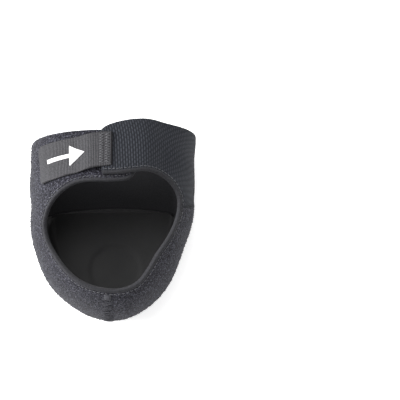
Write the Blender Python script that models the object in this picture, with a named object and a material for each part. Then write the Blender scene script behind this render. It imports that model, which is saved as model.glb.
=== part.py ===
"""Gel heel sleeve: a soft cuff for the heel, with a silicone heel pad inside and an elastic instep strap.

Metres, +Z up, +Y towards the toes. It stands on its sole, with its origin under the middle of its box.

Every piece lies on one outer form, addressed by two numbers. The station runs along the sleeve's side:
-2 at the front edge on the wing's side, -1 to 1 round the heel, and 2 at the front edge on the strap's
side. The climb runs across it, in degrees: -180 on the middle line of the sole, -90 at the edge of its
flat, 0 at the widest line, 90 on the crown, and on past 90 down the far side.
"""

import math

import bmesh
import bpy
from mathutils import Vector

# Overall size
WIDTH = 0.088  # across both sides, at the widest line
LENGTH = 0.1011  # from the back of the heel to the front edge on the strap's side
WING_SHORT = 0.005  # how much less the wing's side reaches forward

# The form's plan and profile
WIDEST = 0.022  # height of the widest line
TURN_UNDER = 0.013  # from the widest line in to the edge of the sole's flat
HEEL_LEFT = 0.0577  # how far from the back of the heel the left side runs straight
HEEL_RIGHT = 0.0745  # and the right side
PIVOT = 0.0551  # from the back of the heel to the point that the heel's rays leave
CROWN_FRONT = 0.057  # height of the instep's crown at the front edge
CROWN_BACK = 0.064  # and at the pivot
CROWN_HEEL = 0.070  # and where the heel's wall would close over
FULLNESS = 2.2  # power of the upper profile: 2 is an ellipse, more is squarer

# Walls and clearance
WALL = 0.0022  # knit sleeve
STRAP = 0.0016  # elastic strap
TAB = 0.0013  # hook tab
GEL = 0.0030  # silicone heel pad
CLEAR = 0.0003  # between pieces that touch

# Binding of the opening's edge
BAND_HIGH = 0.0020  # along the wall
BAND_THICK = 0.0026  # through the wall
BAND_REST = BAND_HIGH / 2 + CLEAR  # from the binding's middle to the edge of the cloth that it closes

# Hook tab's corners
TAB_CORNER = 0.0025

# Where the strap rises over the wing, as climbs on the strap's side
LAP_STARTS, LAP_FULL = 50.0, 71.0

# Where the tab rises from the wing on to the strap's end, as climbs on the wing's side
STEP_STARTS, STEP_FULL = 66.0, 80.0

# Edge of the opening as (station, climb): the wing's end and lower edge, round the heel, the strap
WING_EDGE = (
    (-1.87, 103.0),
    (-1.74, 104.5),
    (-1.60, 105.2),
    (-1.46, 105.0),
    (-1.36, 104.0),
    (-1.29, 101.0),
    (-1.262, 96.0),
    (-1.258, 88.0),
    (-1.266, 79.0),
    (-1.258, 69.0),
    (-1.200, 59.4),
    (-1.100, 49.8),
    (-1.000, 42.8),
)
HEEL_EDGE = (
    (-0.917, 38.2),
    (-0.833, 34.6),
    (-0.717, 32.8),
    (-0.597, 32.1),
    (-0.465, 32.3),
    (-0.335, 32.7),
    (-0.194, 33.2),
    (-0.040, 33.3),
    (0.086, 32.6),
    (0.213, 32.2),
    (0.318, 34.0),
    (0.486, 36.2),
    (0.701, 34.4),
    (0.864, 31.6),
    (1.000, 31.5),
)
STRAP_EDGE = (
    (1.146, 35.4),
    (1.276, 44.5),
    (1.355, 56.6),
    (1.368, 68.0),
    (1.345, 77.0),
    (1.322, 86.0),
    (1.320, 94.3),
)

# Seam of the strap to the sleeve, from the opening down the side and forward along the sole's edge
SEAM = (
    (1.000, 31.5),
    (1.060, 18.0),
    (1.120, 4.0),
    (1.190, -11.0),
    (1.290, -24.0),
    (1.430, -32.0),
    (1.600, -35.0),
    (1.800, -35.0),
    (2.000, -35.0),
)

# Strap's front edge, from the sole's edge up the side and over to its cut-back end
STRAP_FRONT = (
    (2.000, -35.0),
    (1.990, -12.0),
    (1.972, 10.0),
    (1.972, 28.0),
    (1.985, 44.0),
    (2.006, 57.0),
    (2.014, 68.0),
    (2.002, 78.0),
    (1.968, 87.0),
    (1.915, 93.0),
    (1.860, 96.0),
)

# Edge of the heel pad as (foot station, edge station, climb), from its front corner to the heel's middle
PAD_EDGE = (
    (1.220, 1.170, -90.0),
    (1.140, 1.120, -63.0),
    (1.000, 0.995, -40.0),
    (0.700, 0.700, -16.0),
    (0.350, 0.350, 1.0),
    (0.000, 0.000, 7.0),
)

# Hook tab's corners as (station, climb) on the wing's side
TAB_OUTER = ((-1.790, 33.5), (-1.300, 35.0))
TAB_INNER = ((-1.832, 90.0), (-1.410, 90.0))

# How finely the pieces are divided
LEG_LINES = 20
HEEL_LINES = 30
BODY_STEPS = 18
STRAP_LINES = 26
PAD_LINES = 26
PAD_STEPS = 11
TAB_LINES = (6, 14)
SECTION_SIDES = 8


def ease(share):
    """Smooth step from 0 to 1."""
    share = min(max(share, 0.0), 1.0)
    return share * share * (3.0 - 2.0 * share)


def blend(a, b, share):
    """Plain mix of two numbers or vectors."""
    return a + (b - a) * share


def through(rows, place):
    """Catmull-Rom curve through a table's rows, at a row number that may lie between two rows."""
    last = len(rows) - 1
    row = min(int(place), last - 1)
    t = place - row
    a, b = Vector(rows[row]), Vector(rows[row + 1])
    before = Vector(rows[row - 1]) if row > 0 else 2 * a - b
    after = Vector(rows[row + 2]) if row + 2 <= last else 2 * b - a
    bend = 2 * before - 5 * a + 4 * b - after
    twist = 3 * a - before - 3 * b + after
    return a + 0.5 * t * ((b - before) + t * (bend + t * twist))


def side_reach(side, along):
    """Half width at a distance from the back of the heel."""
    bend = HEEL_LEFT if side < 0 else HEEL_RIGHT
    return WIDTH / 2 * math.sqrt(1 - max(1 - along / bend, 0) ** 2)


def heel_reach(side, turn):
    """Plan distance from the pivot to the outline, turned from straight back to one side."""
    bend = HEEL_LEFT if side < 0 else HEEL_RIGHT
    across, back = math.sin(turn) / (WIDTH / 2), math.cos(turn) / bend
    offset = PIVOT / bend - 1
    half = -offset * back
    square = across ** 2 + back ** 2
    return (-half + math.sqrt(half ** 2 - square * (offset ** 2 - 1))) / square


def profile(reach, crown, climb):
    """Distance out from the middle and height at a climb, for a half width and a crown's height."""
    angle = math.radians(climb)
    if climb <= -90:
        return (reach - TURN_UNDER) * (climb + 180) / 90, 0.0
    if climb <= 0:
        return reach - TURN_UNDER * (1 - math.cos(angle)), WIDEST * (1 + math.sin(angle))
    out = math.copysign(abs(math.cos(angle)) ** (2 / FULLNESS), math.cos(angle))
    return reach * out, WIDEST + (crown - WIDEST) * math.sin(angle) ** (2 / FULLNESS)


def form(station, climb):
    """Point of the outer form."""
    side = -1 if station < 0 else 1
    share = max(abs(station) - 1, 0.0)
    if share > 0:
        middle = LENGTH - WING_SHORT / 2
        reach = side_reach(side, PIVOT + share * (middle - PIVOT))
        crown = blend(CROWN_BACK, CROWN_FRONT, share)
        out, up = profile(reach, crown, climb)
        front = middle + WING_SHORT * side * out / WIDTH
        return Vector((side * out, PIVOT + share * (front - PIVOT) - LENGTH / 2, up))
    turn = abs(station) * math.pi / 2
    crown = blend(CROWN_BACK, CROWN_HEEL, math.cos(turn) ** 2)
    out, up = profile(heel_reach(side, turn), crown, climb)
    return Vector((side * out * math.sin(turn), PIVOT - out * math.cos(turn) - LENGTH / 2, up))


def outward(station, climb):
    """Unit normal of the outer form."""
    if climb <= -90:
        return Vector((0, 0, -1))
    step = 0.01
    forward = form(station + step, climb) - form(station - step, climb)
    upward = form(station, climb + 100 * step) - form(station, climb - 100 * step)
    return forward.cross(upward).normalized()


def raised(station, climb, lift):
    """Point at a height over the outer form, or under it where the height is negative."""
    return form(station, climb) + outward(station, climb) * lift


def lap_rise():
    """How far the strap's outer face lies over the form where it crosses the bound wing."""
    return BAND_THICK + CLEAR + (STRAP - WALL) / 2


def strap_lift(climb):
    """Height of the strap's outer face over the form."""
    return lap_rise() * ease((climb - LAP_STARTS) / (LAP_FULL - LAP_STARTS))


def tab_lift(climb):
    """Height of the tab's outer face over the form, at a climb on the wing's side."""
    on_wing = TAB + CLEAR
    return on_wing + lap_rise() * ease((climb - STEP_STARTS) / (STEP_FULL - STEP_STARTS))


RIM = WING_EDGE + HEEL_EDGE + STRAP_EDGE
WING_ENDS = len(WING_EDGE) - 1
HEEL_ENDS = WING_ENDS + len(HEEL_EDGE)


def places(start, end, count):
    """Evenly spaced row numbers of a table."""
    return [blend(start, end, step / count) for step in range(count + 1)]


def edge_frames(path):
    """Normal of the form and direction out of the cloth, square to the edge, at each place of a path."""
    frames = []
    for i, (station, climb) in enumerate(path):
        edge = form(*path[min(i + 1, len(path) - 1)]) - form(*path[max(i - 1, 0)])
        normal = outward(station, climb)
        frames.append((normal, normal.cross(edge).normalized()))
    return frames


def drawn_back(path, distance):
    """Places of an edge moved back into their own cloth by a distance on the form."""
    moved = []
    for (station, climb), (_, away) in zip(path, edge_frames(path)):
        forward = (form(station + 0.01, climb) - form(station - 0.01, climb)) / 0.02
        upward = (form(station, climb + 1) - form(station, climb - 1)) / 2
        shift = away * -distance
        area = forward.cross(upward).length_squared
        mixed = forward.dot(upward)
        on = (shift.dot(forward) * upward.length_squared - shift.dot(upward) * mixed) / area
        up = (shift.dot(upward) * forward.length_squared - shift.dot(forward) * mixed) / area
        moved.append(Vector((station + on, climb + up)))
    return moved


def seam_path():
    """Places of the strap's seam, from the binding's lower side to the front edge."""
    first = (form(*SEAM[1]) - form(*SEAM[0])).length
    return [through(SEAM, at) for at in places(BAND_REST / first, len(SEAM) - 1, LEG_LINES)]


def material(name, colour, roughness, metallic=0.0):
    """Principled material of one plain colour."""
    made = bpy.data.materials.new(name)
    made.use_nodes = True
    shader = made.node_tree.nodes["Principled BSDF"]
    shader.inputs["Base Color"].default_value = (*colour, 1.0)
    shader.inputs["Roughness"].default_value = roughness
    shader.inputs["Metallic"].default_value = metallic
    return made


def place(name, mesh, finish):
    """Object for a mesh, shaded smooth but for its sharp edges."""
    mesh.shade_smooth()
    mesh.set_sharp_from_angle(angle=math.radians(50))
    made = bpy.data.objects.new(name, mesh)
    bpy.context.scene.collection.objects.link(made)
    made.data.materials.append(finish)
    return made


def sheet(name, rows, thickness, finish):
    """Cloth of one thickness whose outer face is a grid: rows run with station, points with climb."""
    shape = bmesh.new()
    grid = [[shape.verts.new(point) for point in row] for row in rows]
    for near, far in zip(grid, grid[1:]):
        for k in range(len(near) - 1):
            shape.faces.new((near[k], far[k], far[k + 1], near[k + 1]))
    bmesh.ops.remove_doubles(shape, verts=shape.verts, dist=1e-6)
    mesh = bpy.data.meshes.new(name)
    shape.to_mesh(mesh)
    shape.free()
    made = place(name, mesh, finish)
    solid = made.modifiers.new("wall", "SOLIDIFY")
    solid.thickness = thickness
    solid.offset = -1.0
    return made


def sole_line(foot, station, climb, steps, lift=0.0):
    """Points from the sole's middle line at the foot station out and up to an edge."""
    line = []
    for step in range(steps + 1):
        share = step / steps
        line.append(raised(blend(foot, station, share ** 3), blend(-180, climb, share), lift))
    return line


def sleeve_body(finish):
    """Sole, heel cup, sides and the wing over the instep, in one wall with an open top and front."""
    wing = [through(RIM, at) for at in places(0, WING_ENDS, LEG_LINES)]
    heel = [through(RIM, at) for at in places(WING_ENDS, HEEL_ENDS, HEEL_LINES)]
    feet = [-2 + i / LEG_LINES for i in range(LEG_LINES)]
    feet += [end[0] for end in heel[:-1]]
    feet += [1 + i / LEG_LINES for i in range(LEG_LINES + 1)]
    ends = drawn_back(wing[:-1] + heel, BAND_REST)[:-1] + drawn_back(seam_path(), CLEAR)
    lines = [sole_line(foot, *end, BODY_STEPS) for foot, end in zip(feet, ends)]
    return sheet("sleeve_body", lines, WALL, finish)


def elastic_strap(finish):
    """Ribbed strap sewn to the right side, over the instep and over the wing's end."""
    seam = seam_path()
    rear = [through(RIM, at) for at in places(HEEL_ENDS, len(RIM) - 1, STRAP_LINES)]
    rear = seam[:1] + drawn_back(rear, BAND_REST)[1:]
    front = [through(STRAP_FRONT, at) for at in places(0, len(STRAP_FRONT) - 1, STRAP_LINES)]
    end = [blend(rear[-1], front[-1], i / LEG_LINES) for i in range(LEG_LINES + 1)]
    lines = []
    for i in range(LEG_LINES + 1):
        u = i / LEG_LINES
        line = []
        for k in range(STRAP_LINES + 1):
            v = k / STRAP_LINES
            across = blend(seam[i], end[i], v) + blend(rear[k], front[k], u)
            corners = blend(blend(rear[0], rear[-1], v), blend(front[0], front[-1], v), u)
            station, climb = across - corners
            line.append(raised(station, climb, strap_lift(climb)))
        lines.append(line)
    return sheet("elastic_strap", lines, STRAP, finish)


def opening_binding(finish):
    """Rounded band on the edge of the opening, from the wing's end round the heel to the strap's end."""
    stops = places(0, WING_ENDS, LEG_LINES)
    stops += places(WING_ENDS, HEEL_ENDS, HEEL_LINES)[1:]
    stops += places(HEEL_ENDS, len(RIM) - 1, STRAP_LINES)[1:]
    path = [through(RIM, at) for at in stops]
    shape = bmesh.new()
    rings = []
    for at, (station, climb), (normal, away) in zip(stops, path, edge_frames(path)):
        on_strap = ease(at - HEEL_ENDS)
        centre = raised(station, climb, blend(-WALL / 2, strap_lift(climb) - STRAP / 2, on_strap))
        ring = []
        for side in range(SECTION_SIDES):
            angle = math.tau * (side + 0.5) / SECTION_SIDES
            out = math.copysign(abs(math.cos(angle)) ** 0.7, math.cos(angle)) * BAND_THICK / 2
            over = math.copysign(abs(math.sin(angle)) ** 0.7, math.sin(angle)) * BAND_HIGH / 2
            ring.append(shape.verts.new(centre + normal * out + away * over))
        rings.append(ring)
    for near, far in zip(rings, rings[1:]):
        for k in range(SECTION_SIDES):
            after = (k + 1) % SECTION_SIDES
            shape.faces.new((near[k], near[after], far[after], far[k]))
    shape.faces.new(rings[0])
    shape.faces.new(rings[-1])
    bmesh.ops.recalc_face_normals(shape, faces=shape.faces)
    mesh = bpy.data.meshes.new("opening_binding")
    shape.to_mesh(mesh)
    shape.free()
    return place("opening_binding", mesh, finish)


def hook_tab(finish):
    """Stiff tab with rounded outer corners, sewn on the strap's end and pressed on the wing."""
    across, lengthwise = TAB_LINES
    wide = (raised(*TAB_OUTER[0], 0) - raised(*TAB_OUTER[1], 0)).length
    long = (raised(*TAB_OUTER[0], 0) - raised(*TAB_INNER[0], 0)).length
    lines = []
    for i in range(across + 1):
        u = i / across
        line = []
        for k in range(lengthwise + 1):
            v = 1 - math.cos(0.5 * math.pi * k / lengthwise)
            short = max(TAB_CORNER - v * long, 0.0)
            inset = TAB_CORNER - math.sqrt(TAB_CORNER ** 2 - short ** 2)
            at = blend(inset / wide, 1 - inset / wide, u)
            start = blend(Vector(TAB_OUTER[0]), Vector(TAB_OUTER[1]), at)
            finish_at = blend(Vector(TAB_INNER[0]), Vector(TAB_INNER[1]), at)
            station, climb = blend(start, finish_at, v)
            line.append(raised(station, climb, tab_lift(climb)))
        lines.append(line)
    return sheet("hook_tab", lines, TAB, finish)


def gel_pad(finish):
    """Silicone cushion on the sole under the heel, turned up the heel's wall."""
    depth = -(WALL + CLEAR)
    rows = [(-foot, -station, climb) for foot, station, climb in PAD_EDGE] + list(PAD_EDGE[-2::-1])
    ends = [through(rows, at) for at in places(0, len(rows) - 1, PAD_LINES)]
    lines = [sole_line(*end, PAD_STEPS, depth) for end in ends]
    return sheet("gel_pad", lines, GEL, finish)


for thing in list(bpy.data.objects):
    bpy.data.objects.remove(thing, do_unlink=True)

sleeve_body(material("charcoal_knit", (0.085, 0.082, 0.098), 0.95))
elastic_strap(material("ribbed_elastic", (0.040, 0.043, 0.052), 0.9))
opening_binding(material("turned_binding", (0.070, 0.070, 0.080), 0.8))
hook_tab(material("grey_hook_tape", (0.155, 0.155, 0.160), 0.85))
gel_pad(material("black_silicone", (0.014, 0.014, 0.016), 0.35))
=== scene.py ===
"""Looks of the gel heel sleeve: knit, ribbed elastic, hook tape, turned edge, stitches and the silicone pad.

Metres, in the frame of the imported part. Every piece lies on one outer form, addressed by two numbers.
The station runs along the sleeve's side: -2 at the front edge on the wing's side, -1 to 1 round the heel,
and 2 at the front edge on the strap's side. The climb runs across it, in degrees: -180 on the middle line
of the sole, -90 at the edge of its flat, 0 at the widest line, 90 on the crown, and past it the far side.
"""

import math

import bmesh
import bpy
import numpy as np
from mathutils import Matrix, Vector
from mathutils.geometry import delaunay_2d_cdt


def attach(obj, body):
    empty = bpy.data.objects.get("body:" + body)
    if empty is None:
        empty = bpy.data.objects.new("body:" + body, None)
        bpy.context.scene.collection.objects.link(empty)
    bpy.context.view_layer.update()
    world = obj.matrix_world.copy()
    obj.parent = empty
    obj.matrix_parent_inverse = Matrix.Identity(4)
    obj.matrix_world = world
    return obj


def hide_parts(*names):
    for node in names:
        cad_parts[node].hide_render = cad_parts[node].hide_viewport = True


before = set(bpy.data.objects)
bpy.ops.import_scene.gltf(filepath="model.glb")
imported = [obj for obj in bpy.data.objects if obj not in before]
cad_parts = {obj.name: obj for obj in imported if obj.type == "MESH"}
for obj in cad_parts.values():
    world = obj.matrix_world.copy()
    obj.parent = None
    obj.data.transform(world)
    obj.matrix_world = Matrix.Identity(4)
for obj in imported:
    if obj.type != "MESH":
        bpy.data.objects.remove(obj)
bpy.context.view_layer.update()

# Overall size
WIDTH = 0.088
LENGTH = 0.1011
WING_SHORT = 0.005

# The form's plan and profile
WIDEST = 0.022
TURN_UNDER = 0.013
HEEL_LEFT = 0.0577
HEEL_RIGHT = 0.0745
PIVOT = 0.0551
CROWN_FRONT = 0.057
CROWN_BACK = 0.064
CROWN_HEEL = 0.070
FULLNESS = 2.2

# Walls
WALL = 0.0022
STRAP = 0.0016
TAB = 0.0013
GEL = 0.0030
CLEAR = 0.0003
BAND_HIGH = 0.0020
BAND_THICK = 0.0026
TAB_CORNER = 0.0025

# Where the strap rises over the wing, and the tab from the wing on to the strap's end, as climbs
LAP_STARTS, LAP_FULL = 50.0, 71.0
STEP_STARTS, STEP_FULL = 66.0, 80.0

# Edge of the opening as (station, climb): the wing's end and lower edge, round the heel, the strap
WING_EDGE = (
    (-1.87, 103.0),
    (-1.74, 104.5),
    (-1.60, 105.2),
    (-1.46, 105.0),
    (-1.36, 104.0),
    (-1.29, 101.0),
    (-1.262, 96.0),
    (-1.258, 88.0),
    (-1.266, 79.0),
    (-1.258, 69.0),
    (-1.200, 59.4),
    (-1.100, 49.8),
    (-1.000, 42.8),
)
HEEL_EDGE = (
    (-0.917, 38.2),
    (-0.833, 34.6),
    (-0.717, 32.8),
    (-0.597, 32.1),
    (-0.465, 32.3),
    (-0.335, 32.7),
    (-0.194, 33.2),
    (-0.040, 33.3),
    (0.086, 32.6),
    (0.213, 32.2),
    (0.318, 34.0),
    (0.486, 36.2),
    (0.701, 34.4),
    (0.864, 31.6),
    (1.000, 31.5),
)
STRAP_EDGE = (
    (1.146, 35.4),
    (1.276, 44.5),
    (1.355, 56.6),
    (1.368, 68.0),
    (1.345, 77.0),
    (1.322, 86.0),
    (1.320, 94.3),
)

# Seam of the strap to the sleeve, from the opening down the side and forward along the sole's edge
SEAM = (
    (1.000, 31.5),
    (1.060, 18.0),
    (1.120, 4.0),
    (1.190, -11.0),
    (1.290, -24.0),
    (1.430, -32.0),
    (1.600, -35.0),
    (1.800, -35.0),
    (2.000, -35.0),
)

# Strap's front edge, from the sole's edge up the side and over to its cut-back end
STRAP_FRONT = (
    (2.000, -35.0),
    (1.990, -12.0),
    (1.972, 10.0),
    (1.972, 28.0),
    (1.985, 44.0),
    (2.006, 57.0),
    (2.014, 68.0),
    (2.002, 78.0),
    (1.968, 87.0),
    (1.915, 93.0),
    (1.860, 96.0),
)

# Edge of the heel pad as (foot station, edge station, climb), from its front corner to the heel's middle
PAD_EDGE = (
    (1.220, 1.170, -90.0),
    (1.140, 1.120, -63.0),
    (1.000, 0.995, -40.0),
    (0.700, 0.700, -16.0),
    (0.350, 0.350, 1.0),
    (0.000, 0.000, 7.0),
)

# Hook tab's corners as (station, climb) on the wing's side
TAB_OUTER = ((-1.790, 33.5), (-1.300, 35.0))
TAB_INNER = ((-1.832, 90.0), (-1.410, 90.0))

# Stitches beside the binding: from one to the next, and the gap between two
STITCH_PITCH = 0.0021
STITCH_GAP = 0.0007

# How finely the pieces are divided
LEG_LINES = 110
HEEL_LINES = 150
BODY_STEPS = 104
STRAP_LINES = (116, 236)
TAB_LINES = (64, 132)
PAD_LINES = (120, 70)
BAND_RINGS = 420
BAND_SIDES = 14
EDGE_STEPS = 3

# Pitches and depths of the textiles
RIB_PITCH = 0.00142
RIB_DASH = 0.0030
RIB_DEEP = 0.00016
TAPE_PITCH = 0.00092
TAPE_DEEP = 0.00008
LOOP = 0.00095

# Middle of the seam at the back of the heel and half its width, as stations
HEEL_SEAM = -0.022
HEEL_SEAM_HALF = 0.035

# Floor and light
FLOOR_HALF = 1.5
FLOOR_DEPTH = 0.0002
FLOOR_GLOW = 0.6
SKY = 0.54
LAMPS = (
    # name, place, size, power
    ("key", (-0.95, 0.10, 0.60), 0.8, 21.0),
    ("fill", (0.10, -0.95, 0.8), 0.8, 0.5),
    ("top", (-0.3, 0.5, 1.3), 1.2, 11.5),
)

# The photograph's frame: real size of a pixel, the sleeve's middle pixel, and what the camera aims at
PHOTO_SIZE = 400
PIXEL = 0.000533
MIDDLE_X = 112.35
AIM_FROM_FRONT = 0.0378
AIM_HEIGHT = 0.030
ELEVATION = 75.0
LENS = 300.0
SENSOR = 36.0


def ease(share):
    """Smooth step from 0 to 1."""
    share = np.clip(share, 0.0, 1.0)
    return share * share * (3.0 - 2.0 * share)


def blend(a, b, share):
    """Plain mix."""
    return a + (b - a) * share


def through(rows, spots):
    """Catmull-Rom curve through a table's rows, at row numbers that may lie between two rows."""
    rows = np.array(rows, dtype=float)
    rows = np.vstack([2 * rows[0] - rows[1], rows, 2 * rows[-1] - rows[-2]])
    spots = np.asarray(spots, dtype=float)
    row = np.clip(spots.astype(int), 0, len(rows) - 4)
    t = (spots - row)[..., None]
    before, a, b, after = (rows[row + k] for k in range(4))
    bend = 2 * before - 5 * a + 4 * b - after
    twist = 3 * a - before - 3 * b + after
    return a + 0.5 * t * ((b - before) + t * (bend + t * twist))


def form(station, climb):
    """Points of the outer form."""
    station, climb = np.broadcast_arrays(np.asarray(station, float), np.asarray(climb, float))
    side = np.where(station < 0, -1.0, 1.0)
    share = np.maximum(np.abs(station) - 1, 0)
    turn = np.minimum(np.abs(station), 1) * math.pi / 2
    bend = np.where(side < 0, HEEL_LEFT, HEEL_RIGHT)
    middle = LENGTH - WING_SHORT / 2
    along = PIVOT + share * (middle - PIVOT)
    straight = WIDTH / 2 * np.sqrt(1 - np.maximum(1 - along / bend, 0) ** 2)
    across, back = np.sin(turn) / (WIDTH / 2), np.cos(turn) / bend
    offset = PIVOT / bend - 1
    half = -offset * back
    square = across ** 2 + back ** 2
    curved = (-half + np.sqrt(half ** 2 - square * (offset ** 2 - 1))) / square
    leg = share > 0
    reach = np.where(leg, straight, curved)
    heel_crown = blend(CROWN_BACK, CROWN_HEEL, np.cos(turn) ** 2)
    crown = np.where(leg, blend(CROWN_BACK, CROWN_FRONT, share), heel_crown)
    angle = np.radians(climb)
    cos, sin = np.cos(angle), np.sin(angle)
    upper = np.copysign(np.abs(cos) ** (2 / FULLNESS), cos) * reach
    under = [climb <= -90, climb <= 0]
    out = np.select(under, [(reach - TURN_UNDER) * (climb + 180) / 90, reach - TURN_UNDER * (1 - cos)], upper)
    rise = WIDEST + (crown - WIDEST) * np.abs(sin) ** (2 / FULLNESS)
    up = np.select(under, [np.zeros_like(sin), WIDEST * (1 + sin)], rise)
    front = middle + WING_SHORT * side * out / WIDTH
    x = np.where(leg, side * out, side * out * np.sin(turn))
    y = np.where(leg, PIVOT + share * (front - PIVOT), PIVOT - out * np.cos(turn)) - LENGTH / 2
    return np.stack([x, y, up], axis=-1)


def unit(vectors):
    """Vectors at length one."""
    return vectors / np.maximum(np.linalg.norm(vectors, axis=-1, keepdims=True), 1e-12)


def outward(station, climb):
    """Unit normals of the outer form."""
    step = 0.01
    forward = form(station + step, climb) - form(station - step, climb)
    upward = form(station, climb + 100 * step) - form(station, climb - 100 * step)
    normal = unit(np.cross(forward, upward))
    return np.where((climb <= -90)[..., None], np.array([0.0, 0.0, -1.0]), normal)


def slack(station, climb):
    """Soft unevenness of the cloth, as a height over the form, fading out on the sole."""
    broad = 0.00035 * np.sin(7.3 * station + 0.045 * climb)
    narrow = 0.00025 * np.sin(13.1 * station - 0.06 * climb + 1.0)
    return (broad + narrow) * ease((climb + 60) / 50)


def raised(station, climb, lift=0.0):
    """Points at a height over the outer form, or under it where the height is negative."""
    station, climb = np.broadcast_arrays(np.asarray(station, float), np.asarray(climb, float))
    height = np.asarray(lift) + slack(station, climb)
    return form(station, climb) + outward(station, climb) * height[..., None]


def lap_rise():
    """How far the strap's outer face lies over the form where it crosses the bound wing."""
    return BAND_THICK + CLEAR + (STRAP - WALL) / 2


def strap_lift(climb):
    """Height of the strap's outer face over the form."""
    return lap_rise() * ease((climb - LAP_STARTS) / (LAP_FULL - LAP_STARTS))


def tab_lift(climb):
    """Height of the tab's outer face over the form, at a climb on the wing's side."""
    return TAB + CLEAR + lap_rise() * ease((climb - STEP_STARTS) / (STEP_FULL - STEP_STARTS))


RIM = WING_EDGE + HEEL_EDGE + STRAP_EDGE
WING_ENDS = len(WING_EDGE) - 1
HEEL_ENDS = WING_ENDS + len(HEEL_EDGE)


def edge_frames(path):
    """Normals of the form and directions out of the cloth, square to the edge, along a path of places."""
    points = form(path[:, 0], path[:, 1])
    normal = outward(path[:, 0], path[:, 1])
    edge = np.gradient(points, axis=0)
    return normal, unit(np.cross(normal, edge))


def drawn_back(path, distance):
    """Places of an edge moved back into their own cloth by a distance on the form."""
    station, climb = path[:, 0], path[:, 1]
    shift = edge_frames(path)[1] * -distance
    forward = (form(station + 0.01, climb) - form(station - 0.01, climb)) / 0.02
    upward = (form(station, climb + 1) - form(station, climb - 1)) / 2
    area = (np.cross(forward, upward) ** 2).sum(-1)
    mixed = (forward * upward).sum(-1)
    on = ((shift * forward).sum(-1) * (upward ** 2).sum(-1) - (shift * upward).sum(-1) * mixed) / area
    up = ((shift * upward).sum(-1) * (forward ** 2).sum(-1) - (shift * forward).sum(-1) * mixed) / area
    return path + np.stack([on, up], axis=-1)


class Nodes:
    """Short way to add and join shader nodes."""

    def __init__(self, name):
        self.material = bpy.data.materials.new(name)
        self.material.use_nodes = True
        self.tree = self.material.node_tree
        self.shader = self.tree.nodes["Principled BSDF"]

    def add(self, kind, inputs=(), **settings):
        node = self.tree.nodes.new(kind)
        for key, value in settings.items():
            setattr(node, key, value)
        for key, value in dict(inputs).items():
            self.set(node.inputs[key], value)
        return node

    def set(self, socket, value):
        if isinstance(value, bpy.types.NodeSocket):
            self.tree.links.new(value, socket)
        else:
            socket.default_value = value

    def math(self, operation, *values):
        node = self.add("ShaderNodeMath", operation=operation)
        for socket, value in zip(node.inputs, values):
            self.set(socket, value)
        return node.outputs[0]

    def ramp(self, factor, *stops):
        node = self.add("ShaderNodeValToRGB", {"Fac": factor})
        elements = node.color_ramp.elements
        while len(elements) < len(stops):
            elements.new(0.5)
        for element, (position, colour) in zip(elements, stops):
            element.position = position
            element.color = (*colour, 1.0)
        return node.outputs["Color"]

    def mix(self, factor, a, b, blend_type="MIX"):
        node = self.add("ShaderNodeMix", data_type="RGBA", blend_type=blend_type)
        for key, value in ((0, factor), (6, a), (7, b)):
            self.set(node.inputs[key], value)
        return node.outputs[2]

    def noise(self, scale, detail=2.0, rough=0.5):
        inputs = {"Scale": scale, "Detail": detail, "Roughness": rough, "Vector": self.place()}
        return self.add("ShaderNodeTexNoise", inputs).outputs["Fac"]

    def cells(self, scale):
        inputs = {"Scale": scale, "Vector": self.place()}
        return self.add("ShaderNodeTexVoronoi", inputs, feature="F1").outputs["Distance"]

    def place(self):
        return self.add("ShaderNodeTexCoord").outputs["Object"]

    def weave(self):
        chart = self.add("ShaderNodeUVMap", uv_map="weave")
        parts = self.add("ShaderNodeSeparateXYZ", {"Vector": chart.outputs["UV"]})
        return parts.outputs["X"], parts.outputs["Y"]

    def bump(self, *layers):
        normal = None
        for height, distance, strength in layers:
            node = self.add("ShaderNodeBump", {"Height": height, "Distance": distance, "Strength": strength})
            if normal:
                self.set(node.inputs["Normal"], normal)
            normal = node.outputs["Normal"]
        self.set(self.shader.inputs["Normal"], normal)

    def finish(self, colour, roughness, sheen=0.0, specular=0.5):
        self.set(self.shader.inputs["Base Color"], colour)
        self.set(self.shader.inputs["Roughness"], roughness)
        self.set(self.shader.inputs["Sheen Weight"], sheen)
        self.set(self.shader.inputs["Sheen Roughness"], 0.5)
        self.set(self.shader.inputs["Specular IOR Level"], specular)
        return self.material


def knit_material():
    """Charcoal loop knit: fleecy loops, flecked light and dark, with a faint purple tint, and painted shade
    in the hollows between the loops.
    """
    n = Nodes("charcoal_knit")
    lump = n.math("SUBTRACT", 1.0, n.cells(1 / LOOP))
    fleck = n.noise(1 / 0.0008, 3.0, 0.7)
    fibre = n.noise(1 / 0.00035, 2.0, 0.6)
    wash = n.noise(1 / 0.017, 2.0)
    tint = n.mix(wash, (0.0125, 0.0128, 0.0185, 1), (0.0165, 0.0148, 0.0235, 1))
    # The hollows between the loops are darkened to a quarter of the tint: painted shade.
    depth = n.ramp(lump, (0.25, (0.25, 0.25, 0.27)), (0.85, (1.05, 1.05, 1.05)))
    base = n.mix(1.0, tint, depth, "MULTIPLY")
    light = n.ramp(fleck, (0.50, (0.0, 0.0, 0.0)), (0.66, (0.72, 0.72, 0.72)))
    flecked = n.mix(light, base, (0.125, 0.127, 0.158, 1))
    n.bump((lump, 0.0004, 0.9), (fleck, 0.0003, 0.5), (fibre, 0.00012, 0.5))
    return n.finish(flecked, 0.92, sheen=0.06, specular=0.2)


def lining_material():
    """Black smooth jersey on the inside."""
    n = Nodes("black_lining")
    grain = n.noise(1 / 0.0007, 2.0, 0.6)
    colour = n.ramp(grain, (0.3, (0.010, 0.010, 0.0115)), (0.75, (0.017, 0.017, 0.019)))
    n.bump((grain, 0.0001, 0.3))
    return n.finish(colour, 0.85, sheen=0.05, specular=0.2)


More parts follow.
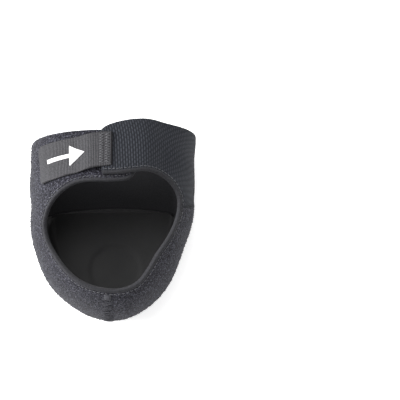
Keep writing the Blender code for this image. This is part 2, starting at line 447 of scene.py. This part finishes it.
def elastic_material():
    """Blue-black ribbed elastic with lighter dashes on the ribs, and painted shade in the grooves between
    them.
    """
    n = Nodes("ribbed_elastic")
    along, across = n.weave()
    column = n.math("DIVIDE", along, RIB_PITCH)
    stagger = n.math("MULTIPLY", n.math("MODULO", n.math("FLOOR", column), 2.0), 0.5)
    row = n.math("ADD", n.math("DIVIDE", across, RIB_DASH), stagger)
    crest = n.math("SINE", n.math("MULTIPLY", n.math("FRACT", column), math.pi))
    dash = n.math("SINE", n.math("MULTIPLY", n.math("FRACT", row), math.pi))
    stitch = n.math("MULTIPLY", crest, n.math("ADD", n.math("MULTIPLY", dash, 0.5), 0.5))
    yarn = n.noise(1 / 0.0005, 2.0, 0.6)
    stitch_with_groove_shade = n.math("ADD", stitch, n.math("MULTIPLY", n.math("SUBTRACT", yarn, 0.5), 1.1))
    # The colour follows the ribs' height, so the grooves between them are darkened as painted shade.
    colour = n.ramp(
        stitch_with_groove_shade,
        (0.1, (0.012, 0.013, 0.0165)),
        (0.6, (0.022, 0.024, 0.0300)),
        (1.0, (0.046, 0.050, 0.061)),
    )
    n.bump((stitch, 0.0003, 0.6), (yarn, 0.00015, 0.5))
    return n.finish(colour, 0.88, sheen=0.03, specular=0.2)


def tape_material():
    """Light grey woven hook tape in fine columns, with painted shade in the hollows between the columns and
    picks.
    """
    n = Nodes("grey_hook_tape")
    along, across = n.weave()
    column = n.math("FRACT", n.math("DIVIDE", along, TAPE_PITCH))
    crest = n.math("SINE", n.math("MULTIPLY", column, math.pi))
    pick = n.math("SINE", n.math("MULTIPLY", n.math("FRACT", n.math("DIVIDE", across, 0.0007)), math.pi))
    woven = n.math("ADD", n.math("MULTIPLY", crest, 0.65), n.math("MULTIPLY", pick, 0.35))
    yarn = n.noise(1 / 0.0006, 3.0, 0.65)
    mixed = n.math("ADD", woven, n.math("MULTIPLY", n.math("SUBTRACT", yarn, 0.5), 0.9))
    # The colour follows the weave's height, so its hollows are darkened as painted shade.
    colour = n.ramp(
        mixed,
        (0.2, (0.010, 0.010, 0.0112)),
        (0.6, (0.030, 0.0295, 0.0325)),
        (1.0, (0.088, 0.087, 0.094)),
    )
    n.bump((woven, 0.0002, 0.5), (yarn, 0.00012, 0.5))
    return n.finish(colour, 0.8, sheen=0.04, specular=0.25)


def binding_material():
    """Smooth turned edge."""
    n = Nodes("turned_binding")
    yarn = n.noise(1 / 0.0006, 2.0, 0.6)
    colour = n.ramp(yarn, (0.3, (0.011, 0.011, 0.013)), (0.7, (0.033, 0.033, 0.038)))
    n.bump((yarn, 0.00015, 0.4))
    return n.finish(colour, 0.75, sheen=0.04, specular=0.25)


def thread_material(name, dark, light):
    """Twisted thread."""
    n = Nodes(name)
    yarn = n.noise(1 / 0.0003, 1.0)
    n.bump((yarn, 0.00005, 0.5))
    return n.finish(n.ramp(yarn, (0.3, dark), (0.7, light)), 0.6, sheen=0.05, specular=0.3)


def gel_material():
    """Black silicone with a soft shine and faint flow marks."""
    n = Nodes("black_silicone")
    cloud = n.noise(1 / 0.006, 2.0)
    fine = n.noise(1 / 0.0009, 2.0)
    rough = n.add("ShaderNodeMapRange", {"Value": cloud, "To Min": 0.42, "To Max": 0.55}).outputs["Result"]
    n.bump((fine, 0.00004, 0.3), (cloud, 0.0003, 0.2))
    colour = n.ramp(cloud, (0.3, (0.004, 0.004, 0.0045)), (0.7, (0.007, 0.007, 0.008)))
    return n.finish(colour, rough, specular=0.25)


def print_material():
    """White rubbery print, slightly worn."""
    n = Nodes("white_print")
    grain = n.noise(1 / 0.0008, 3.0, 0.6)
    colour = n.ramp(grain, (0.25, (0.62, 0.62, 0.62)), (0.5, (0.90, 0.90, 0.90)))
    n.bump((grain, 0.00005, 0.3))
    return n.finish(colour, 0.6, specular=0.3)


def make(name, vertices, faces, materials, chart=None, finishes=None):
    """Mesh object of the sleeve, with its materials, its weave chart and each face's material number."""
    mesh = bpy.data.meshes.new(name)
    mesh.from_pydata(vertices.tolist() if isinstance(vertices, np.ndarray) else vertices, [], faces)
    for finish in materials:
        mesh.materials.append(finish)
    mesh.shade_smooth()
    if finishes is not None:
        mesh.polygons.foreach_set("material_index", finishes)
    if chart is not None:
        layer = mesh.uv_layers.new(name="weave")
        corner = np.empty(len(mesh.loops), dtype=np.int32)
        mesh.loops.foreach_get("vertex_index", corner)
        layer.data.foreach_set("uv", chart[corner].astype(np.float32).ravel())
    made = bpy.data.objects.new(name, mesh)
    bpy.context.scene.collection.objects.link(made)
    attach(made, "root")
    return made


def lengths(points, axis):
    """Distance run along one axis of a grid of points."""
    steps = np.linalg.norm(np.diff(points, axis=axis), axis=-1)
    start = np.zeros_like(np.take(steps, [0], axis=axis))
    return np.concatenate([start, np.cumsum(steps, axis=axis)], axis=axis)


def weave_chart(outer):
    """Distances on the cloth, from its last column back and from its first row on."""
    across = lengths(outer, 1)
    return across[:, -1:] - across, lengths(outer, 0)


def cloth(name, outer, inner, materials, from_middle=False):
    """Closed cloth between an outer and an inner grid, with round edges.

    Rows run with station and columns with climb. Where the lines start on the sole's middle line, no edge
    is there. The inner grid gets the second material, if there is one.
    """
    size = outer.shape[0] * outer.shape[1]
    number = np.arange(size).reshape(outer.shape[:2])
    corners = number[:-1, :-1], number[1:, :-1], number[1:, 1:], number[:-1, 1:]
    skin = np.stack(corners, axis=-1).reshape(-1, 4)
    back = skin[:, ::-1] + size
    loop = np.concatenate([number[0, :], number[1:, -1], number[-1, -2::-1]])
    inside = np.concatenate([number[1, :], number[1:, -2], number[-2, -2::-1]])
    if not from_middle:
        loop = np.concatenate([loop, number[-2::-1, 0]])
        inside = np.concatenate([inside, number[-2::-1, 1]])
    flat, under = outer.reshape(-1, 3), inner.reshape(-1, 3)
    middle, half = (flat[loop] + under[loop]) / 2, (flat[loop] - under[loop]) / 2
    away = unit(flat[loop] - flat[inside])
    if not from_middle:
        away = unit(away + np.roll(away, 1, 0) + np.roll(away, -1, 0))
    bulge = np.linalg.norm(half, axis=-1, keepdims=True)
    rings = [loop]
    extra = []
    for step in range(1, EDGE_STEPS + 1):
        angle = math.pi * step / (EDGE_STEPS + 1)
        extra.append(middle + half * math.cos(angle) + away * bulge * math.sin(angle))
        rings.append(2 * size + (step - 1) * len(loop) + np.arange(len(loop)))
    rings.append(loop + size)
    strip = []
    for near, far in zip(rings, rings[1:]):
        strip.append(np.stack([near[:-1], far[:-1], far[1:], near[1:]], axis=-1))
    strip = np.vstack(strip)[:, ::-1]
    vertices = np.vstack([flat, under] + extra)
    chart = np.stack(weave_chart(outer), axis=-1).reshape(-1, 2)
    chart = np.vstack([chart, chart] + [chart[loop]] * EDGE_STEPS)
    faces = np.vstack([skin, back, strip])
    finishes = np.zeros(len(faces), dtype=np.int32)
    if len(materials) > 1:
        finishes[len(skin) : 2 * len(skin)] = 1
    made = make(name, vertices, faces.tolist(), materials, chart, finishes)
    weld(made)
    return made


def weld(made):
    """Joins the points that meet, such as those on the sole's middle line."""
    shape = bmesh.new()
    shape.from_mesh(made.data)
    bmesh.ops.remove_doubles(shape, verts=shape.verts, dist=2e-6)
    bmesh.ops.dissolve_degenerate(shape, edges=shape.edges, dist=1e-7)
    shape.to_mesh(made.data)
    shape.free()


def grid_places(ends, feet, steps):
    """Stations and climbs of lines that run from the sole's middle line to their ends."""
    share = np.linspace(0, 1, steps + 1)[None, :]
    station = blend(feet[:, None], ends[:, :1], share ** 3)
    return station, blend(-180.0, ends[:, 1:], share)


def seam_line(count):
    """Places along the strap's seam, from just inside the binding."""
    first = np.linalg.norm(form(*SEAM[1]) - form(*SEAM[0]))
    return through(SEAM, np.linspace(BAND_HIGH / 4 / first, len(SEAM) - 1, count + 1))


def body_knit(knit, lining):
    """Knit shell: sole, heel cup, sides and the wing."""
    wing = through(RIM, np.linspace(0, WING_ENDS, LEG_LINES + 1))
    heel = through(RIM, np.linspace(WING_ENDS, HEEL_ENDS, HEEL_LINES + 1))
    bound = drawn_back(np.vstack([wing[:-1], heel]), BAND_HIGH / 4)[:-1]
    ends = np.vstack([bound, drawn_back(seam_line(LEG_LINES), CLEAR)])
    feet = [-2 + np.arange(LEG_LINES) / LEG_LINES, heel[:-1, 0], 1 + np.arange(LEG_LINES + 1) / LEG_LINES]
    station, climb = grid_places(ends, np.concatenate(feet), BODY_STEPS)
    made = cloth(
        "body_knit",
        raised(station, climb),
        raised(station, climb, -WALL),
        [knit, lining],
        from_middle=True,
    )
    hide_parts("sleeve_body")
    return made


def strap_grid(rows, columns):
    """Stations and climbs of the strap, rear to front by right side to left end."""
    seam = seam_line(rows)
    rear = drawn_back(through(RIM, np.linspace(HEEL_ENDS, len(RIM) - 1, columns + 1)), BAND_HIGH / 4)
    rear[0] = seam[0]
    front = through(STRAP_FRONT, np.linspace(0, len(STRAP_FRONT) - 1, columns + 1))
    u = np.linspace(0, 1, rows + 1)[:, None, None]
    v = np.linspace(0, 1, columns + 1)[None, :, None]
    end = blend(rear[-1], front[-1], u[:, 0])
    across = blend(seam[:, None], end[:, None], v) + blend(rear[None], front[None], u)
    corners = blend(blend(rear[0], rear[-1], v), blend(front[0], front[-1], v), u)
    return across - corners


def strap_elastic(elastic, lining):
    """Ribbed strap, with its ribs raised as staggered dashes."""
    grid = strap_grid(*STRAP_LINES)
    station, climb = grid[..., 0], grid[..., 1]
    lift = strap_lift(climb)
    flat = raised(station, climb, lift)
    along, across = weave_chart(flat)
    along, across = along / RIB_PITCH, across / RIB_DASH
    stagger = np.floor(along) % 2 * 0.5
    dash = np.sin(np.pi * (along % 1)) * (0.6 + 0.4 * np.sin(np.pi * ((across + stagger) % 1)))
    made = cloth(
        "strap_elastic",
        raised(station, climb, lift + RIB_DEEP * (dash - 1)),
        raised(station, climb, lift - STRAP),
        [elastic, lining],
    )
    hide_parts("elastic_strap")
    return made


def tab_places(u, v):
    """Stations and climbs on the tab: u from front to rear, v from its outer end to its sewn end."""
    start = blend(np.array(TAB_OUTER[0]), np.array(TAB_OUTER[1]), u[..., None])
    end = blend(np.array(TAB_INNER[0]), np.array(TAB_INNER[1]), u[..., None])
    place = blend(start, end, v[..., None])
    return place[..., 0], place[..., 1]


def tab_size():
    """Width and length of the tab."""
    wide = np.linalg.norm(form(*TAB_OUTER[0]) - form(*TAB_OUTER[1]))
    long = lengths(form(*tab_places(np.full(40, 0.5), np.linspace(0, 1, 40)))[None], 1)[0, -1]
    return wide, long


def on_tab(across, along, lift=0.0):
    """Points on the tab's outer face at distances from its front edge and from its outer end."""
    wide, long = tab_size()
    station, climb = tab_places(np.asarray(across) / wide, np.asarray(along) / long)
    return raised(station, climb, tab_lift(climb) + lift)


def tab_hook(tape, lining):
    """Hook tape with round outer corners and fine raised columns."""
    wide, long = tab_size()
    rows, columns = TAB_LINES
    along = long * (1 - np.cos(0.5 * np.pi * np.linspace(0.0, 1, columns + 1))) ** 0.9
    along = long * along / along[-1]
    short = np.maximum(TAB_CORNER - along, 0)
    inset = TAB_CORNER - np.sqrt(np.maximum(TAB_CORNER ** 2 - short ** 2, 0))
    share = np.linspace(0, 1, rows + 1)[:, None]
    across = blend(inset[None, :], wide - inset[None, :], share)
    along = np.broadcast_to(along[None, :], across.shape)
    column = np.sin(np.pi * (along / TAPE_PITCH % 1))
    made = cloth(
        "tab_hook",
        on_tab(across, along, TAPE_DEEP * (column - 1)),
        on_tab(across, along, -TAB),
        [tape, lining],
    )
    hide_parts("hook_tab")
    return made


def band_path(rings):
    """Places, centres and frames of the binding."""
    stops = np.linspace(0, len(RIM) - 1, rings + 1)
    path = through(RIM, stops)
    normal, away = edge_frames(path)
    depth = blend(-WALL / 2, strap_lift(path[:, 1]) - STRAP / 2, ease(stops - HEEL_ENDS))
    centres = raised(path[:, 0], path[:, 1], depth)
    return centres, normal, away


def binding_roll(finish):
    """Turned edge, a flattened roll that puckers slightly between its stitches."""
    centres, normal, away = band_path(BAND_RINGS)
    run = lengths(centres[None], 1)[0]
    pucker = 1 + 0.05 * np.sin(math.tau * run / STITCH_PITCH)
    rings = []
    square = 0.8
    for side in range(BAND_SIDES):
        angle = math.tau * (side + 0.5) / BAND_SIDES
        out = math.copysign(abs(math.cos(angle)) ** square, math.cos(angle)) * BAND_THICK / 2
        over = math.copysign(abs(math.sin(angle)) ** square, math.sin(angle)) * BAND_HIGH / 2
        rings.append(centres + normal * (out * pucker)[:, None] + away * over)
    vertices, faces = tube_faces(np.stack(rings, axis=1))
    made = make("binding_roll", vertices, faces, [finish])
    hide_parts("opening_binding")
    return made


def tube_faces(rings):
    """Vertices and faces of a capped tube from its rings."""
    count, sides = rings.shape[:2]
    number = np.arange(count * sides).reshape(count, sides)
    after = np.roll(number, -1, axis=1)
    faces = np.stack([number[:-1], after[:-1], after[1:], number[1:]], axis=-1).reshape(-1, 4).tolist()
    faces += [number[0, ::-1].tolist(), number[-1].tolist()]
    return rings.reshape(-1, 3), faces


def threads(name, runs, radius, finish, sides=6):
    """One mesh of many short threads, each a tube through its own points with narrowed ends."""
    vertices, faces = [], []
    hint = np.array([0.3, 0.2, 0.93])
    angles = (math.tau * np.arange(sides) / sides)[None, :, None]
    for run in runs:
        tangent = unit(np.gradient(run, axis=0))
        side = unit(np.cross(tangent, hint))
        up = np.cross(side, tangent)
        share = np.linspace(-1, 1, len(run))
        girth = radius * np.sqrt(np.maximum(1 - np.abs(share) ** 6, 0.12))
        ring = side[:, None] * np.cos(angles) + up[:, None] * np.sin(angles)
        points, corners = tube_faces(run[:, None] + ring * girth[:, None, None])
        start = len(vertices)
        vertices.extend(points.tolist())
        faces.extend([[corner + start for corner in face] for face in corners])
    return make(name, vertices, faces, [finish])


def arc(a, b, out, rise, points=7):
    """Stitch that comes up at one point, lies on the cloth and goes down at another."""
    share = np.linspace(0, 1, points)[:, None]
    return blend(a, b, share) + out * rise * np.sin(np.pi * share) ** 0.6


def row_at(table, run, at):
    """Row of a table at one length along its line."""
    return np.array([np.interp(at, run, table[:, k]) for k in range(3)])


def binding_stitches(finish):
    """Row of short light stitches in the cloth just outside the turned edge."""
    centres, normal, away = band_path(BAND_RINGS)
    run = lengths(centres[None], 1)[0]
    runs = []
    sunk, beside = 0.0002, 0.0004
    for start in np.arange(STITCH_PITCH, run[-1] - STITCH_PITCH, STITCH_PITCH):
        ends = []
        for at in (start, start + STITCH_PITCH - STITCH_GAP):
            centre, up, over = (row_at(table, run, at) for table in (centres, normal, away))
            ends.append(centre + up * (BAND_THICK / 2 - sunk) - over * (BAND_HIGH / 2 + beside))
        runs.append(arc(*ends, up, 0.00022))
    return threads("binding_stitches", runs, 0.00021, finish)


def on_body(station, climb, lift=0.0):
    """Single point on the knit and its normal."""
    point = raised(np.array([station]), np.array([climb]), lift)[0]
    return point, outward(np.array([station]), np.array([climb]))[0]


def heel_seam(finish):
    """Flat seam down the back of the heel, in two crossing zigzags, with a bar tack at its top."""
    runs = []
    step = 2.9
    for k, climb in enumerate(np.arange(29.0, -58.0, -step)):
        side = HEEL_SEAM_HALF if k % 2 else -HEEL_SEAM_HALF
        a, out = on_body(HEEL_SEAM - side, climb)
        b, _ = on_body(HEEL_SEAM + side, climb - step)
        runs.append(arc(a, b, out, 0.00048, 9))
        c, _ = on_body(HEEL_SEAM + side, climb - 0.3 * step)
        d, _ = on_body(HEEL_SEAM - side, climb - 1.3 * step)
        runs.append(arc(c, d, out, 0.00036, 9))
    tack = 0.75 * HEEL_SEAM_HALF
    for climb in 31.0 - 0.5 * np.arange(9):
        a, out = on_body(HEEL_SEAM - tack, climb, 0.0003)
        b, _ = on_body(HEEL_SEAM + tack, climb - 0.2, 0.0003)
        runs.append(arc(a, b, out, 0.0005))
    return threads("heel_seam", runs, 0.00021, finish)


def yarn_loops(finish):
    """Small loops of yarn that stand a little out of the knit, scattered by a fixed seed."""
    chance = np.random.default_rng(7)
    count = 5200
    station = chance.uniform(-1.97, 1.55, count)
    climb = chance.uniform(-75.0, 100.0, count)
    edge = through(RIM, np.linspace(0, HEEL_ENDS, 200))
    order = np.argsort(edge[:, 0])
    limit = np.interp(station, edge[order, 0], edge[order, 1]) - 3.5
    seam = through(SEAM, np.linspace(0, len(SEAM) - 1, 120))
    limit = np.where(station > 1.0, np.interp(station, seam[:, 0], seam[:, 1]) - 4.0, limit)
    limit = np.where(station < -1.25, np.minimum(limit, 84.0), limit)
    under_tab = (station > TAB_OUTER[0][0] - 0.05) & (station < -1.26) & (climb > 30.0)
    on_seam = np.abs(station - HEEL_SEAM) <= HEEL_SEAM_HALF
    keep = (climb < limit) & ~under_tab & ~on_seam
    station, climb = station[keep], climb[keep]
    foot = raised(station, climb, -0.0001)
    out = outward(station, climb)
    turn = chance.uniform(0, math.tau, len(station))
    side = unit(np.cross(out, np.array([0.21, 0.13, 0.97])))
    lean = side * np.cos(turn)[:, None] + np.cross(out, side) * np.sin(turn)[:, None]
    size = chance.uniform(0.00022, 0.00042, len(station))[:, None]
    angles = np.linspace(0, math.pi, 5)[:, None]
    across, upward = np.cos(angles), 0.9 * np.sin(angles)
    runs = [a + wide * (over * across + up * upward) for a, up, over, wide in zip(foot, out, lean, size)]
    return threads("yarn_loops", runs, 0.00011, finish, sides=4)


def strap_seam(finish):
    """Overlock stitches where the strap is sewn to the sleeve, down the side and along the sole's edge."""
    spots = np.arange(0.25, len(SEAM) - 1.05, 0.16)
    path = through(SEAM, spots)
    normal, away = edge_frames(path)
    points = raised(path[:, 0], path[:, 1], -0.00005)
    half, rise = 0.0012, 0.00012
    low, high = points - away * half, points + away * half
    runs = []
    for k in range(len(points) - 1):
        runs.append(arc(low[k], high[k + 1], normal[k], rise))
        runs.append(arc(high[k + 1], low[k + 1], normal[k], rise))
    return threads("strap_seam", runs, 0.00017, finish)


def tab_stitches(finish):
    """Two columns of close zigzag that sew the tab on the strap's end."""
    wide, long = tab_size()
    runs = []
    spots = np.arange(0.0008, wide - 0.0006, 0.00085)
    _, out = on_body(-1.6, 88.0)
    for inner, outer in ((0.0046, 0.0026), (0.0022, 0.0003)):
        for k, across in enumerate(spots[:-1]):
            ends = (inner, outer) if k % 2 else (outer, inner)
            a, b = on_tab(np.array([across, spots[k + 1]]), long - np.array(ends))
            runs.append(arc(a, b, out, 0.0003, 6))
    return threads("tab_stitches", runs, 0.0002, finish)


def tab_mark(finish):
    """Plain white arrow on the tab, which points to the way that the strap pulls."""
    wide, _ = tab_size()
    middle, thick = wide * 0.5, 0.0011
    tail, neck, tip, spread = 0.0070, 0.0215, 0.0300, 0.0060
    outline = (
        (tail, -thick),
        (neck, -thick),
        (neck, -spread),
        (tip, 0.0),
        (neck, spread),
        (neck, thick),
        (tail, thick),
    )
    corners = []
    for (along, across), (next_along, next_across) in zip(outline, outline[1:] + outline[:1]):
        for share in np.linspace(0, 1, 12, endpoint=False):
            corners.append((blend(along, next_along, share), blend(across, next_across, share)))
    step = 0.00055
    loop = [Vector((a, b)) for a, b in corners]
    outline = [list(range(len(loop)))]
    points, _, found, *_ = delaunay_2d_cdt(loop + inner_points(loop, step), [], outline, 1, 1e-7)
    flat = np.array([(p.x, p.y) for p in points])
    top = on_tab(middle + flat[:, 1], flat[:, 0], 0.00012)
    low = on_tab(middle + flat[:, 1], flat[:, 0], -0.0003)
    count = len(flat)
    faces = [list(f) for f in found] + [[v + count for v in reversed(f)] for f in found]
    edges = dict.fromkeys((a, b) for f in found for a, b in zip(f, f[1:] + f[:1]))
    faces += [[b, a, a + count, b + count] for a, b in edges if (b, a) not in edges]
    made = make("tab_mark", np.vstack([top, low]), faces, [finish])
    shape = bmesh.new()
    shape.from_mesh(made.data)
    bmesh.ops.recalc_face_normals(shape, faces=shape.faces)
    shape.to_mesh(made.data)
    shape.free()
    return made


def inner_points(loop, step):
    """Points of a square net inside an outline."""
    xs, ys = [p.x for p in loop], [p.y for p in loop]
    found = []
    for x in np.arange(min(xs) + step, max(xs), step):
        for y in np.arange(min(ys) + step, max(ys), step):
            inside = False
            for a, b in zip(loop, loop[1:] + loop[:1]):
                if (a.y > y) != (b.y > y) and x < a.x + (y - a.y) / (b.y - a.y) * (b.x - a.x) - step / 2:
                    inside = not inside
            if inside:
                found.append(Vector((x, y)))
    return found


def pad_gel(finish):
    """Silicone pad with a shallow round zone under the heel bone and a thinned edge."""
    rows = [(-foot, -station, climb) for foot, station, climb in PAD_EDGE] + list(PAD_EDGE[-2::-1])
    lines, steps = PAD_LINES
    ends = through(rows, np.linspace(0, len(rows) - 1, lines + 1))
    station, climb = grid_places(ends[:, 1:], ends[:, 0], steps)
    outer = form(station, climb) - outward(station, climb) * (WALL + 0.0001)
    edge = 1 - np.linspace(0, 1, steps + 1)[None, :]
    front = np.minimum(np.arange(lines + 1), lines - np.arange(lines + 1))[:, None] / lines
    thin = 0.55 + 0.45 * ease(edge / 0.12) * ease(front / 0.05)
    away = np.linalg.norm(outer[..., :2] - np.array([0.001, -0.0195]), axis=-1)
    dish = 0.0004 * (1 - ease((away - 0.0118) / 0.0036))
    thick = GEL * thin - dish * (climb < -30)
    inner = outer - outward(station, climb) * thick[..., None]
    made = cloth("pad_gel", outer, inner, [finish], from_middle=True)
    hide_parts("gel_pad")
    return made


def studio():
    """Pale floor and soft light, brighter from the upper left."""
    turns = ((-1, -1), (1, -1), (1, 1), (-1, 1))
    corners = [(x * FLOOR_HALF, y * FLOOR_HALF, -FLOOR_DEPTH) for x, y in turns]
    floor = bpy.data.meshes.new("floor")
    floor.from_pydata(corners, [], [(0, 1, 2, 3)])
    ground = bpy.data.objects.new("floor", floor)
    bpy.context.scene.collection.objects.link(ground)
    n = Nodes("pale_floor")
    n.set(n.shader.inputs["Emission Color"], (1, 1, 1, 1))
    n.set(n.shader.inputs["Emission Strength"], FLOOR_GLOW)
    floor.materials.append(n.finish((0.93, 0.93, 0.93, 1), 0.9, specular=0.1))
    world = bpy.data.worlds.new("studio")
    bpy.context.scene.world = world
    world.use_nodes = True
    sky = world.node_tree.nodes["Background"].inputs
    sky["Color"].default_value = (1, 1, 1, 1)
    sky["Strength"].default_value = SKY
    for name, spot, size, power in LAMPS:
        light = bpy.data.lights.new(name, "AREA")
        light.size = size
        light.energy = power
        lamp = bpy.data.objects.new(name, light)
        lamp.location = spot
        aim = Vector((0, 0, AIM_HEIGHT)) - lamp.location
        lamp.rotation_euler = aim.to_track_quat("-Z", "Y").to_euler()
        bpy.context.scene.collection.objects.link(lamp)


def camera():
    """Camera behind and above the heel, framed as the photograph is."""
    angle = math.radians(ELEVATION)
    across = (PHOTO_SIZE / 2 - MIDDLE_X) * PIXEL
    aim = Vector((across, LENGTH / 2 - AIM_FROM_FRONT, AIM_HEIGHT))
    distance = PHOTO_SIZE * PIXEL / SENSOR * LENS
    lens = bpy.data.cameras.new("camera")
    lens.lens = LENS
    lens.sensor_width = SENSOR
    lens.clip_end = 20
    made = bpy.data.objects.new("camera", lens)
    direction = Vector((0, -math.cos(angle), math.sin(angle)))
    made.location = aim + direction * distance
    made.rotation_euler = (-direction).to_track_quat("-Z", "Y").to_euler()
    bpy.context.scene.collection.objects.link(made)
    bpy.context.scene.camera = made


bpy.context.scene.view_settings.view_transform = "Standard"
camera()
studio()
knit, lining = knit_material(), lining_material()
body_knit(knit, lining)
strap_elastic(elastic_material(), lining)
tab_hook(tape_material(), lining)
binding_roll(binding_material())
pad_gel(gel_material())
light_thread = thread_material("light_thread", (0.05, 0.05, 0.055), (0.14, 0.14, 0.15))
grey_thread = thread_material("grey_thread", (0.020, 0.020, 0.025), (0.085, 0.085, 0.098))
loop_yarn = thread_material("loop_yarn", (0.018, 0.018, 0.024), (0.105, 0.105, 0.130))
dark_thread = thread_material("dark_thread", (0.014, 0.015, 0.018), (0.045, 0.047, 0.055))
binding_stitches(light_thread)
heel_seam(grey_thread)
strap_seam(dark_thread)
yarn_loops(loop_yarn)
tab_stitches(light_thread)
tab_mark(print_material())
